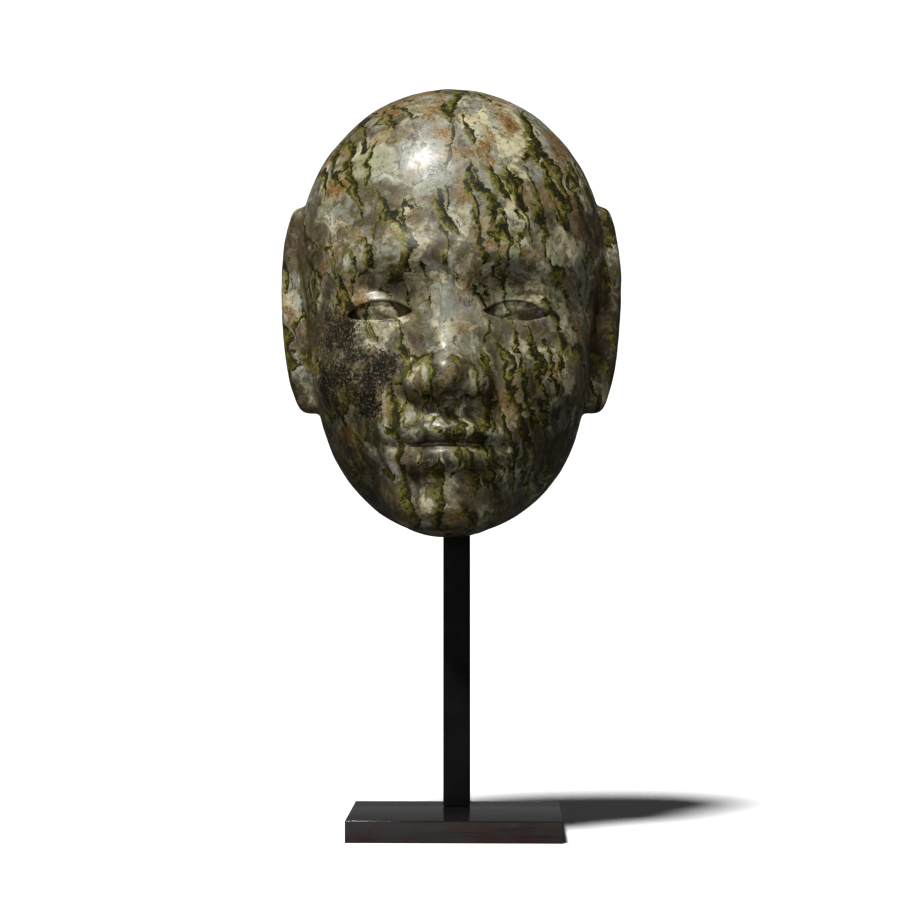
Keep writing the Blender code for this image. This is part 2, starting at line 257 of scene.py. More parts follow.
class StageSettings(bpy.types.PropertyGroup):
    """Camera and light."""

    camera_place: direction("Camera", "Where the camera stands", (0.0226, -0.9111, 0.1196))
    camera_yaw: FloatProperty(name="Yaw", description="Turn to the left, in degrees", default=1.55)
    camera_pitch: FloatProperty(name="Pitch", description="Tilt upwards, in degrees", default=1.38)
    lens: FloatProperty(name="Lens", description="Focal length in millimetres", default=98.2)
    floor_strength: strength("Floor", "Strength of the floor's own light", 4.6)
    floor_from: direction("Shadow from", "Where the floor's light comes from", (-0.26, -0.37, 1.0))
    key_strength: strength("Key", "Strength of the key light", 3.15)
    key_from: direction("Key from", "Where the key light comes from", (-0.30, -0.60, 1.0))
    front_strength: strength("Front", "Strength of the light before the mask", 2.15)
    front_from: direction("Front from", "Where the front light comes from", (-0.25, -1.0, 0.0))
    back_strength: strength("Back", "Strength of the light behind the mask", 1.3)
    back_from: direction("Back from", "Where the back light comes from", (0.1, 1.0, 0.25))
    side_strength: strength("Side", "Strength of the light at the viewer's right", 0.45)
    side_from: direction("Side from", "Where the side light comes from", (1.0, 0.6, 0.25))
    card_strength: strength("Card", "Glow of the card that the foot mirrors", 0.110)
    fill: strength("Fill", "Strength of the light from all round", 0.058)


class Nodes:
    """Makes the nodes of a tree and links them."""

    def node(self, kind, **settings):
        made = self.tree.nodes.new(kind)
        for name, value in settings.items():
            setattr(made, name, value)
        return made

    def give(self, socket, value):
        """Links an input, or sets it."""
        if isinstance(value, bpy.types.NodeSocket):
            self.tree.links.new(value, socket)
        elif socket.type == "RGBA" and len(value) == 3:
            socket.default_value = (*value, 1)
        else:
            socket.default_value = value

    def feed(self, made, *values, **named):
        """Gives a node its inputs, in order or by name."""
        for socket, value in zip(made.inputs, values):
            self.give(socket, value)
        for name, value in named.items():
            self.give(made.inputs[name.replace("_", " ").capitalize()], value)
        return made

    def number(self, operation, *values, clamp=False):
        made = self.node("ShaderNodeMath", operation=operation, use_clamp=clamp)
        return self.feed(made, *values).outputs[0]

    def vector(self, operation, *values):
        made = self.feed(self.node("ShaderNodeVectorMath", operation=operation), *values)
        return made.outputs["Value" if operation in ("LENGTH", "DOT_PRODUCT") else "Vector"]

    def split(self, place):
        return self.feed(self.node("ShaderNodeSeparateXYZ"), place).outputs[:3]

    def combine(self, *values):
        return self.feed(self.node("ShaderNodeCombineXYZ"), *values).outputs[0]

    def added(self, value, more, share):
        """A value and this share of another."""
        return self.number("ADD", value, self.number("MULTIPLY", more, share))

    def between(self, value, low, high):
        """0 below the low value, 1 above the high one."""
        made = self.node("ShaderNodeMapRange", interpolation_type="SMOOTHSTEP")
        return self.feed(made, value, low, high).outputs[0]


class Carving(Nodes):
    """Distances to a surface on the pattern, below 0 inside the stone, worked out by geometry nodes."""

    def __init__(self, name, sizes, origin):
        self.tree = bpy.data.node_groups.new(name, "GeometryNodeTree")
        self.tree.interface.new_socket("Geometry", in_out="INPUT", socket_type="NodeSocketGeometry")
        self.tree.interface.new_socket("Geometry", in_out="OUTPUT", socket_type="NodeSocketGeometry")
        self.sizes = sizes
        self.unit = Vector((
            sizes.head_width / PATTERN_WIDTH,
            sizes.head_depth / PATTERN_DEPTH,
            sizes.height / PATTERN_HEIGHT,
        ))
        place = self.vector("SUBTRACT", self.node("GeometryNodeInputPosition").outputs[0], origin)
        self.place = self.vector("DIVIDE", place, self.unit)
        self.x, self.y, self.z = self.split(self.place)
        squared = self.number("MULTIPLY", self.x, self.x)
        sideways = self.number("SQRT", self.number("ADD", squared, MIDLINE_ROUNDING))
        self.either_side = self.combine(sideways, self.y, self.z)

    def local(self, place, middle, turn=(0, 0, 0)):
        """The place as seen from a middle, along axes turned by these degrees."""
        seen = self.vector("SUBTRACT", place, middle)
        if not any(turn):
            return seen
        turned = self.node("ShaderNodeVectorRotate", rotation_type="EULER_XYZ", invert=True)
        self.tree.links.new(seen, turned.inputs["Vector"])
        turned.inputs["Rotation"].default_value = [math.radians(angle) for angle in turn]
        return turned.outputs[0]

    def egg(self, place, middle, radii, turn=(0, 0, 0)):
        """An ellipsoid."""
        seen = self.local(place, middle, turn)
        nearest = 0.001
        reach = self.vector("LENGTH", self.vector("DIVIDE", seen, radii))
        reach = self.number("MAXIMUM", reach, nearest)
        slope = self.vector("LENGTH", self.vector("DIVIDE", seen, [radius * radius for radius in radii]))
        slope = self.number("MAXIMUM", slope, nearest / max(radii))
        beyond = self.number("SUBTRACT", reach, 1.0)
        return self.number("DIVIDE", self.number("MULTIPLY", reach, beyond), slope)

    def slab(self, place, middle, halves, rounding, turn=(0, 0, 0)):
        """A box with rounded edges."""
        seen = self.vector("ABSOLUTE", self.local(place, middle, turn))
        beyond = self.vector("SUBTRACT", seen, [half - rounding for half in halves])
        x, y, z = self.split(beyond)
        inside = self.number("MINIMUM", self.number("MAXIMUM", x, self.number("MAXIMUM", y, z)), 0.0)
        outside = self.vector("LENGTH", self.vector("MAXIMUM", beyond, (0, 0, 0)))
        return self.number("SUBTRACT", self.number("ADD", outside, inside), rounding)

    def drum(self, place, middle, radius):
        """An endless cylinder that lies along y."""
        seen = self.vector("MULTIPLY", self.local(place, middle), (1, 0, 1))
        return self.number("SUBTRACT", self.vector("LENGTH", seen), radius)

    def almond(self, place, middle, half_width, rise, fall, turn):
        """The space between two arcs that meet in the corners of an eye."""
        seen = self.local(place, middle, turn)
        upper = (half_width**2 + rise**2) / (2 * rise)
        lower = (half_width**2 + fall**2) / (2 * fall)
        below_the_upper = self.drum(seen, (0, 0, rise - upper), upper)
        above_the_lower = self.drum(seen, (0, 0, lower - fall), lower)
        return self.common(below_the_upper, above_the_lower, blend=0.2)

    def join(self, stone, more, blend):
        return self.number("SMOOTH_MIN", stone, more, blend)

    def cut(self, stone, tool, blend):
        return self.number("SMOOTH_MAX", stone, self.number("MULTIPLY", tool, -1.0), blend)

    def common(self, one, other, blend):
        return self.number("SMOOTH_MAX", one, other, blend)

    def noise(self, size, seed=(0, 0, 0)):
        """A soft random value about 0, whose waves are so many units long."""
        made = self.node("ShaderNodeTexNoise", noise_dimensions="3D", normalize=False)
        spread = self.vector("MULTIPLY", self.vector("ADD", self.place, seed), [1 / size] * 3)
        self.tree.links.new(spread, made.inputs["Vector"])
        made.inputs["Scale"].default_value = 1.0
        made.inputs["Detail"].default_value = 2.0
        return made.outputs[0]

    def cells(self, size, seed=(0, 0, 0)):
        """Distance to the nearest of scattered points, in units."""
        made = self.node("ShaderNodeTexVoronoi", voronoi_dimensions="3D", feature="F1")
        spread = self.vector("MULTIPLY", self.vector("ADD", self.place, seed), [1 / size] * 3)
        self.tree.links.new(spread, made.inputs["Vector"])
        made.inputs["Scale"].default_value = 1.0
        return self.number("MULTIPLY", made.outputs["Distance"], size)

    def surface(self, stone, lowest, highest):
        """The mesh where the distance is 0."""
        softness = SURFACE_VOXELS * self.sizes.grain / self.unit.z
        filled = self.number("SUBTRACT", 0.5, self.number("DIVIDE", stone, softness))
        filled = self.feed(self.node("ShaderNodeClamp"), filled).outputs[0]
        block = self.node("GeometryNodeVolumeCube")
        self.tree.links.new(filled, block.inputs["Density"])
        block.inputs["Min"].default_value = lowest
        block.inputs["Max"].default_value = highest
        for axis, side in zip("XYZ", highest - lowest):
            block.inputs[f"Resolution {axis}"].default_value = math.ceil(side / self.sizes.grain)
        mesh = self.node("GeometryNodeVolumeToMesh", resolution_mode="GRID")
        self.tree.links.new(block.outputs[0], mesh.inputs["Volume"])
        mesh.inputs["Threshold"].default_value = 0.5
        return mesh.outputs[0]

    def sink(self, mesh, depth):
        """Lowers the surface by a depth in metres."""
        inwards = self.node("ShaderNodeVectorMath", operation="SCALE")
        self.tree.links.new(self.node("GeometryNodeInputNormal").outputs[0], inwards.inputs[0])
        self.tree.links.new(self.number("MULTIPLY", depth, -1.0), inwards.inputs["Scale"])
        moved = self.node("GeometryNodeSetPosition")
        self.tree.links.new(mesh, moved.inputs["Geometry"])
        self.tree.links.new(inwards.outputs[0], moved.inputs["Offset"])
        return moved.outputs[0]

    def keep(self, mesh, name, value):
        """Stores a value on the mesh for its material."""
        kept = self.node("GeometryNodeStoreNamedAttribute", data_type="FLOAT", domain="POINT")
        self.tree.links.new(mesh, kept.inputs["Geometry"])
        kept.inputs["Name"].default_value = name
        self.tree.links.new(value, kept.inputs["Value"])
        return kept.outputs[0]

    def finish(self, mesh):
        self.feed(self.node("NodeGroupOutput"), mesh)
        return self.tree


def carve_head(carving):
    cranium = carving.egg(carving.place, CRANIUM_MIDDLE, CRANIUM_RADII)
    jaw = carving.egg(carving.place, JAW_MIDDLE, JAW_RADII)
    return carving.join(cranium, jaw, HEAD_BLEND)


def carve_brows_and_cheeks(carving, stone):
    sides = carving.either_side
    brow = carving.egg(sides, middle=(12.6, -27.4, 59.6), radii=(14.5, 5.6, 3.8), turn=(0, 6, 31))
    stone = carving.join(stone, brow, blend=7)
    socket = carving.egg(sides, middle=(14.4, -36.6, 51.2), radii=(9.4, 8.2, 5.6), turn=(0, 2, 16))
    stone = carving.cut(stone, socket, blend=6)
    cheek = carving.egg(sides, middle=(18.4, -18.8, 36.6), radii=(10.6, 9.4, 10.0), turn=(0, 0, 25))
    return carving.join(stone, cheek, blend=10)


def carve_eyes(carving, stone):
    """Heavy lids over a rounded eye, which shows in an almond opening."""
    sides = carving.either_side
    middle, turn = (14.6, -22.6, 49.2), (0, 0, 15)
    lids, lid_thickness = (8.8, 8.0, 5.8), 1.1
    stone = carving.join(stone, carving.egg(sides, middle, lids, turn), blend=2)
    opening = carving.almond(sides, (14.6, 0, 47.9), half_width=7.2, rise=2.7, fall=1.5, turn=(0, 3, 0))
    eye = carving.egg(sides, middle, [radius - lid_thickness for radius in lids], turn)
    before_the_eye = carving.common(opening, carving.number("MULTIPLY", eye, -1.0), blend=0.3)
    front_half = carving.number("SUBTRACT", carving.y, middle[1])
    return carving.cut(stone, carving.common(before_the_eye, front_half, blend=0.3), blend=0.5)


def carve_nose(carving, stone):
    place, sides = carving.place, carving.either_side
    nose = carving.egg(place, middle=(0, -30.6, 43.6), radii=(4.3, 5.6, 16.6), turn=(-16, 0, 0))
    tip = carving.egg(place, middle=(0, -35.4, 34.6), radii=(5.3, 5.6, 4.9))
    wing = carving.egg(sides, middle=(5.3, -32.6, 33.1), radii=(3.9, 5.4, 4.0), turn=(0, 0, 20))
    nose = carving.join(nose, carving.join(tip, wing, blend=4.5), blend=4.5)
    underside = carving.number("SUBTRACT", 29.2, carving.z)
    stone = carving.join(stone, carving.common(nose, underside, blend=2.4), blend=4)
    nostril = carving.egg(sides, middle=(3.8, -35.0, 29.0), radii=(1.6, 2.1, 2.8), turn=(-22, 0, 14))
    return carving.cut(stone, nostril, blend=0.8)


def carve_mouth(carving, stone):
    """Full, closed lips that follow the curve of the teeth, with a dimple at each corner."""
    muzzle = carving.egg(carving.place, middle=(0, -21.6, 21.8), radii=(16.2, 13.6, 13.2))
    stone = carving.join(stone, muzzle, blend=7.4)
    droop, teeth = 0.007, 0.028
    squared = carving.number("MULTIPLY", carving.x, carving.x)
    bent = carving.combine(
        carving.x,
        carving.added(carving.y, squared, -teeth),
        carving.added(carving.z, squared, droop),
    )
    upper_lip = carving.egg(bent, middle=(0, -33.6, 22.7), radii=(11.8, 4.3, 3.1))
    lower_lip = carving.egg(bent, middle=(0, -32.9, 17.0), radii=(10.2, 4.6, 3.6))
    stone = carving.join(stone, carving.join(upper_lip, lower_lip, blend=0.7), blend=2.2)
    groove = carving.egg(carving.place, middle=(0, -38.2, 27.4), radii=(1.7, 3.0, 3.2))
    stone = carving.cut(stone, groove, blend=1.6)
    slit = carving.egg(bent, middle=(0, -37.6, 20.0), radii=(10.8, 4.4, 0.6))
    stone = carving.cut(stone, slit, blend=0.8)
    sides = carving.either_side
    corner = carving.egg(sides, middle=(11.6, -32.4, 19.2), radii=(1.5, 3.0, 1.4), turn=(0, 0, -25))
    return carving.cut(stone, corner, blend=1.6)


def carve_chin(carving, stone):
    below_the_lip = carving.egg(carving.place, middle=(0, -38.2, 11.0), radii=(9.6, 5.2, 2.6))
    stone = carving.cut(stone, below_the_lip, blend=6)
    chin = carving.egg(carving.place, middle=(0, -22.2, 7.6), radii=(13.0, 10.4, 7.6))
    return carving.join(stone, chin, blend=9)


def carve_ears(carving, stone):
    """Plain flanges that sweep back from the sides of the head, each rooted well inside it."""
    unit, sizes = carving.unit, carving.sizes
    reach, thick, high = sizes.ear_reach / unit.x, sizes.ear_thickness / unit.y, sizes.ear_height / unit.z
    half_width = CRANIUM_RADII[0] + reach - EAR_ROOT
    sides = carving.either_side
    middle = (EAR_ROOT + half_width / 2, EAR_SETTING, EAR_LEVEL)
    halves = (half_width / 2, thick / 2, high / 2)
    flange = carving.slab(sides, middle, halves, rounding=0.45 * thick, turn=(0, 3, 14))
    fullest = (EAR_ROOT, EAR_SETTING, EAR_LEVEL + 2)
    outline = carving.egg(sides, fullest, radii=(half_width, 13, 0.64 * high))
    return carving.join(stone, carving.common(flange, outline, blend=3), blend=1.6)


def wear(carving):
    """How deep the surface has worn, in metres: waves of hand polishing, and pits where it has weathered."""
    depth = 0.0
    for long, deep in POLISH_WAVES:
        depth = carving.added(depth, carving.noise(long), deep)
    ragged = carving.noise(6.0, seed=(31, 7, 3))
    flat = carving.combine(carving.x, 0.0, carving.z)
    weathered = 0.0
    for sideways, up, radius in WEATHERED_PATCHES:
        off = carving.vector("LENGTH", carving.vector("SUBTRACT", flat, (sideways, 0, up)))
        patch = carving.between(carving.added(off, ragged, 7.0), radius, 0.55 * radius)
        weathered = carving.number("MAXIMUM", weathered, patch)
    pits = carving.between(carving.noise(PIT_WIDTH, seed=(3, 5, 9)), 0.05, 0.5)
    depth = carving.added(depth, carving.number("MULTIPLY", pits, weathered), PIT_DEPTH)
    return carving.number("MULTIPLY", depth, carving.unit.z)


def carve_back(carving, stone):
    """The leaning rim, and the hollow inside it, pecked with a stone hammer."""
    sizes, unit = carving.sizes, carving.unit
    above_the_middle = carving.number("SUBTRACT", carving.z, RIM_LEVEL)
    plane = carving.added(carving.y, above_the_middle, -sizes.rim_lean)
    stone = carving.common(stone, plane, blend=1.8)
    side, upright = sizes.rim_wall / unit.x, sizes.rim_wall / unit.z
    face = sizes.face_wall / unit.y
    eggs = []
    for middle, radii in ((CRANIUM_MIDDLE, CRANIUM_RADII), (JAW_MIDDLE, JAW_RADII)):
        front = middle[1] - radii[1] + face
        hollow_radii = (radii[0] - side, -front, radii[2] - upright)
        eggs.append(carving.egg(carving.place, (0, 0, middle[2]), hollow_radii))
    hollow = carving.join(*eggs, blend=16)
    return carving.cut(stone, hollow, blend=2.4), hollow


def peck(carving, hollow):
    """The marks of the stone hammer inside the hollow, in metres deep, and 1 where the inside is."""
    blows = carving.cells(HAMMER_WIDTH, seed=(1, 2, 3))
    marks = carving.number("SUBTRACT", 1.0, carving.between(blows, 0.0, 1.7))
    inside = carving.between(hollow, 1.2, 0.2)
    depth = carving.number("MULTIPLY", marks, inside)
    depth = carving.number("MULTIPLY", depth, HAMMER_DEPTH * carving.unit.z)
    return depth, inside


def carve_chips(carving, stone):
    """Old knocks along the rim of the jaw."""
    for sideways, up in JAW_CHIPS:
        chip = carving.egg(carving.place, middle=(sideways, -1.5, up), radii=(4.0, 4.5, 4.2))
        stone = carving.cut(stone, chip, blend=0.8)
    return stone


def mask_origin(sizes, stand):
    """The pattern's origin in space. The chin's back edge leans on the front of the post."""
    unit_z, unit_y = sizes.height / PATTERN_HEIGHT, sizes.head_depth / PATTERN_DEPTH
    post_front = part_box("post")[0][1]
    foot_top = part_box("foot")[1][2]
    rim_at_chin = sizes.rim_lean * (sizes.rim_wall / unit_z - RIM_LEVEL)
    back = post_front - stand.touch_gap - rim_at_chin * unit_y
    return Vector((stand.mask_aside, back, foot_top + stand.chin_above_foot))


def deselect_all():
    if bpy.context.object and bpy.context.object.mode != "OBJECT":
        bpy.ops.object.mode_set(mode="OBJECT")
    bpy.ops.object.select_all(action="DESELECT")


def block(name, low, high):
    """A bar between two corners, with its place in its mesh."""
    deselect_all()
    low, high = Vector(low), Vector(high)
    bpy.ops.mesh.primitive_cube_add(size=1, location=(low + high) / 2, scale=high - low)
    made = bpy.context.object
    made.name = made.data.name = name
    bpy.ops.object.transform_apply(location=True, rotation=True, scale=True)
    return made


def apply_all(piece):
    """Applies the piece's modifiers in order."""
    bpy.context.view_layer.objects.active = piece
    for modifier in list(piece.modifiers):
        bpy.ops.object.modifier_apply(modifier=modifier.name)


def ease_edges(bar, radius):
    """Rounds the edges of a bar a little."""
    eased = bar.modifiers.new("Eased edges", "BEVEL")
    eased.width = radius
    eased.segments = EDGE_STEPS
    apply_all(bar)
    bpy.ops.object.shade_smooth_by_angle(angle=SHADED_AS_ONE)


def dress(piece, finish, node):
    """Gives a piece its material, and its place in the frame."""
    piece.data.materials.clear()
    piece.data.materials.append(finish)
    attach(piece, "root")
    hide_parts(node)
    return piece


class Finish(Nodes):
    """A material made of nodes on Object coordinates, in metres."""

    def __init__(self, name):
        self.material = bpy.data.materials.new(name)
        self.material.use_nodes = True
        self.tree = self.material.node_tree
        self.shader = self.tree.nodes["Principled BSDF"]
        self.place = self.tree.nodes.new("ShaderNodeTexCoord").outputs["Object"]

    def stretched(self, place, scale=(1, 1, 1), turn=(0, 0, 0), shift=(0, 0, 0)):
        made = self.node("ShaderNodeMapping")
        self.give(made.inputs["Vector"], place)
        made.inputs["Location"].default_value = shift
        made.inputs["Rotation"].default_value = [math.radians(angle) for angle in turn]
        made.inputs["Scale"].default_value = scale
        return made.outputs[0]

    def noise(self, place, size, detail=3.0, rough=0.5):
        """Clouds of this size, in metres, about 0.5."""
        made = self.node("ShaderNodeTexNoise")
        self.give(made.inputs["Vector"], place)
        made.inputs["Scale"].default_value = 1 / size
        made.inputs["Detail"].default_value = detail
        made.inputs["Roughness"].default_value = rough
        return made.outputs["Fac"]

    def warped(self, place, size, amount, detail=2.0):
        """The place, pushed about by clouds of this size, by up to about this much."""
        made = self.node("ShaderNodeTexNoise")
        self.give(made.inputs["Vector"], place)
        made.inputs["Scale"].default_value = 1 / size
        made.inputs["Detail"].default_value = detail
        push = self.vector("SUBTRACT", made.outputs["Color"], (0.5, 0.5, 0.5))
        push = self.vector("MULTIPLY", push, [2 * amount] * 3)
        return self.vector("ADD", place, push)

    def cells(self, place, size, feature="F1"):
        made = self.node("ShaderNodeTexVoronoi", feature=feature)
        self.give(made.inputs["Vector"], place)
        made.inputs["Scale"].default_value = 1 / size
        return made

    def mix(self, share, first, second):
        made = self.node("ShaderNodeMix", data_type="RGBA")
        for name, value in (("Factor", share), ("A", first), ("B", second)):
            socket = [s for s in made.inputs if s.name == name and s.enabled][0]
            self.give(socket, value)
        return [s for s in made.outputs if s.enabled][0]

    def tinted(self, stone, colour, shown, share):
        """A colour with up to this share of another laid over it where it is shown."""
        return self.mix(self.number("MULTIPLY", shown, share), stone, colour)

    def stored(self, name):
        return self.node("ShaderNodeAttribute", attribute_name=name).outputs["Fac"]

    def raise_grain(self, height, strength, depth):
        """Fine relief that only the light shows."""
        bump = self.feed(self.node("ShaderNodeBump"), Strength=strength, Distance=depth)
        self.give(bump.inputs["Height"], height)
        self.give(self.shader.inputs["Normal"], bump.outputs[0])


class Greenstone(Finish):
    """Pale lumpy stone between olive streaks, with iron stains, a worn black patch and a soft polish."""

    def __init__(self, colours, origin, unit):
        super().__init__("Greenstone")
        self.colours = colours
        flow = self.place
        for size, amount in STONE_SWIRLS:
            flow = self.warped(flow, size, amount, detail=1)
        self.flow = flow
        self.pattern = self.vector("DIVIDE", self.vector("SUBTRACT", flow, origin), unit)
        self.clear = self.patches(CLEAR_STONE)
        # Patches of darker stone, which include painted shade on the right ear
        self.dark_stone_and_shade = self.patches(DARK_STONE_AND_PAINTED_SHADE)
        self.low_down = self.between(self.split(self.pattern)[2], 60.0, 25.0)
        self.inside = self.stored("inside")
        broad = self.stretched(flow, shift=(0.5, 0.1, 0.3))
        self.broad = self.noise(broad, BROAD_CLOUD, detail=3, rough=0.55)
        self.clouds = self.noise(flow, SMALL_CLOUD, detail=4, rough=0.6)
        self.grains = self.noise(self.place, GRAIN, detail=3, rough=0.7)
        self.mottle = self.noise(self.place, MOTTLE, detail=3, rough=0.75)
        self.gritty = self.number("MULTIPLY", self.number("SUBTRACT", self.grains, 0.5), 1.6)
        self.uneven = self.added(self.gritty, self.number("SUBTRACT", self.clouds, 0.5), 1.8)

    def patches(self, listed):
        """1 inside the listed round patches, 0 well outside them."""
        flat = self.vector("MULTIPLY", self.pattern, (1, 0, 1))
        inside = 0.0
        for sideways, up, radius in listed:
            off = self.vector("LENGTH", self.vector("SUBTRACT", flat, (sideways, 0, up)))
            inside = self.number("MAXIMUM", inside, self.between(off, 1.3 * radius, 0.4 * radius))
        return inside

    def bedding(self):
        """The place as seen from the beds of the stone: across them, and along them on a smaller scale."""
        x, y, z = self.split(self.flow)
        # The beds lean to the right as they run down, the more so the further right
        level = self.number("SUBTRACT", z, BEDDING_LEVEL)
        lean = self.added(0.22, x, 1.9)
        across = self.number("ADD", x, self.number("MULTIPLY", lean, level))
        across = self.added(across, y, 0.25)
        return self.combine(across, self.number("MULTIPLY", y, 0.5), self.number("MULTIPLY", z, 0.42))

    def streaks(self, bedded, size, share, crowd):
        """Dark mineral round lumps of stone, 0 to 1 deep: soft at its left and sharp at its right."""
        lumps = self.cells(bedded, size)
        edge = self.cells(bedded, size, feature="DISTANCE_TO_EDGE").outputs["Distance"]
        off = self.vector("SUBTRACT", bedded, lumps.outputs["Position"])
        right_side = self.between(self.split(off)[0], -0.02 * size, 0.16 * size)
        chance = self.split(lumps.outputs["Color"])[0]
        strength = self.between(self.number("ADD", chance, crowd), 1.0 - share, 1.5 - share)
        width = self.added(0.02, strength, 0.32)
        depth = self.number("SUBTRACT", 1.0, self.number("DIVIDE", edge, width), clamp=True)
        shown = self.between(strength, 0.02, 0.30)
        return self.number("MULTIPLY", self.number("MULTIPLY", depth, right_side), shown)

    def vein(self, top, foot, width):
        """One long streak, thin at both ends."""
        top, foot = Vector((top[0], 0, top[1])), Vector((foot[0], 0, foot[1]))
        run = foot - top
        rightwards = Vector((-run.z, 0, run.x)).normalized()
        off = self.vector("SUBTRACT", self.pattern, top)
        along = self.vector("DOT_PRODUCT", off, run / run.length_squared)
        aside = self.vector("DOT_PRODUCT", off, rightwards)
        ends = self.number("MULTIPLY", self.between(along, -0.05, 0.3), self.between(along, 1.05, 0.7))
        own_width = self.added(0.01, ends, width)
        depth = self.number("ADD", 1.0, self.number("DIVIDE", aside, own_width), clamp=True)
        depth = self.number("MULTIPLY", depth, self.between(aside, 0.35, 0.0))
        return self.number("MULTIPLY", depth, self.between(ends, 0.0, 0.4))

    def ground(self):
        """Lumps of cream, grey and grey-green, clouded inside, with hairlines between some of them."""
        colours = self.colours
        place = self.stretched(self.flow, scale=(1, 1, 0.75), turn=(0, -14, 0))
        lumps = self.cells(place, LUMP)
        seams = self.cells(place, LUMP, feature="DISTANCE_TO_EDGE").outputs["Distance"]
        tint, shade, chance = self.split(lumps.outputs["Color"])
        greyish = self.patches(GREY_STONE)
        cool = self.number("MAXIMUM", self.between(tint, 0.30, 0.45), greyish)
        stone = self.mix(cool, colours.pale, colours.grey)
        creamy = self.added(self.added(shade, self.patches(CREAMY_STONE), 0.4), greyish, -0.6)
        stone = self.mix(self.between(creamy, 0.58, 0.80), stone, colours.cream)
        milky = self.between(self.added(self.broad, greyish, -0.05), 0.48, 0.70)
        stone = self.tinted(stone, colours.milk, milky, 0.8)
        cloudy = self.between(self.clouds, 0.44, 0.66)
        cloudy = self.number("MULTIPLY", cloudy, self.between(self.clear, 1.4, 0.0))
        stone = self.mix(cloudy, stone, colours.dun)
        self.hair = self.number("MULTIPLY", self.between(seams, 0.028, 0.0), self.between(chance, 0.55, 0.7))
        return self.tinted(stone, colours.umber, self.hair, 0.5)

    def stained(self, stone):
        """Dusky clouds, iron stains with granular orange, and fine mottling."""
        colours = self.colours
        cloudy = self.stretched(self.flow, shift=(0.1, 0.7, 0.2))
        cloudy = self.noise(cloudy, DUSKY_CLOUD, detail=4, rough=0.62)
        # More dusk clouds in the darker patches, which include painted shade on the right ear
        cloudy = self.added(self.added(cloudy, self.clear, -0.10), self.dark_stone_and_shade, 0.16)
        stone = self.tinted(stone, colours.dusk, self.between(cloudy, 0.47, 0.60), 0.8)
        iron = self.stretched(self.flow, shift=(0.31, 0.2, 0.7))
        iron = self.noise(iron, IRON_CLOUD, detail=4, rough=0.6)
        iron = self.added(iron, self.patches(IRON_STAINS), 0.12)
        stone = self.tinted(stone, colours.tan, self.between(iron, 0.51, 0.68), 0.9)
        freckles = self.added(self.grains, self.number("SUBTRACT", iron, 0.6), 0.9)
        rusty = self.number("MULTIPLY", self.between(iron, 0.54, 0.68), self.between(freckles, 0.48, 0.62))
        stone = self.tinted(stone, colours.rust, rusty, 0.85)
        stone = self.tinted(stone, colours.umber, self.between(self.mottle, 0.46, 0.72), 0.35)
        specks = self.noise(self.stretched(self.place, scale=(1, 1, 0.6)), SPECK, detail=4, rough=0.7)
        stone = self.tinted(stone, colours.umber, self.between(specks, 0.56, 0.66), 0.75)
        return self.tinted(stone, colours.milk, self.between(specks, 0.42, 0.30), 0.35)

    def smeared(self, stone, bedded):
        """Soft upright blotches low down."""
        smears = self.stretched(bedded, scale=(1, 1, 0.6), shift=(0.9, 0.2, 0.5))
        smears = self.noise(smears, SMEAR, detail=3, rough=0.55)
        brownish = self.number("MULTIPLY", self.between(smears, 0.42, 0.60), self.low_down)
        stone = self.tinted(stone, self.colours.dusk, brownish, 0.60)
        blackish = self.number("MULTIPLY", self.between(smears, 0.51, 0.65), self.low_down)
        return self.tinted(stone, self.colours.deep, blackish, 0.75)

    def streaked(self, stone, bedded):
        """Olive streaks with black cores, and small blots between them."""
        colours = self.colours
        crowd = self.number("SUBTRACT", self.noise(self.place, CROWD, detail=1), 0.5)
        crowd = self.added(self.added(crowd, self.low_down, 0.12), self.clear, -0.9)
        depth = self.streaks(bedded, LONG_STREAK, 0.76, crowd)
        elsewhere = self.stretched(bedded, shift=(0.0371, 0.0113, 0.0219))
        depth = self.number("MAXIMUM", depth, self.streaks(elsewhere, SHORT_STREAK, 0.50, crowd))
        depth = self.number("SUBTRACT", depth, self.number("MULTIPLY", self.low_down, 0.07), clamp=True)
        for top, foot, width in VEINS:
            depth = self.number("MAXIMUM", depth, self.vein(top, foot, width))
        stone = self.tinted(stone, colours.moss, self.between(depth, 0.0, 0.5), 0.55)
        ragged = self.number("MULTIPLY", self.uneven, self.between(depth, 0.0, 0.25))
        depth = self.number("ADD", depth, ragged)
        stone = self.tinted(stone, colours.moss, self.between(depth, 0.02, 0.36), 0.85)
        stone = self.tinted(stone, colours.olive, self.between(depth, 0.20, 0.62), 0.95)
        stone = self.tinted(stone, colours.deep, self.between(depth, 0.42, 0.86), 0.95)
        blots = self.stretched(self.flow, scale=(1, 1, 0.7), shift=(0.4, 0.9, 0.6))
        blots = self.noise(blots, SMALL_CLOUD, detail=3, rough=0.6)
        stone = self.tinted(stone, colours.olive, self.between(blots, 0.60, 0.69), 0.85)
        stone = self.tinted(stone, colours.deep, self.between(blots, 0.67, 0.77), 0.85)
        # The listed darker stone is dark all through, and on the right ear this is painted shade
        shaded = self.number("MULTIPLY", self.dark_stone_and_shade, self.between(self.clouds, 0.38, 0.58))
        return self.tinted(stone, colours.umber, shaded, 0.85)

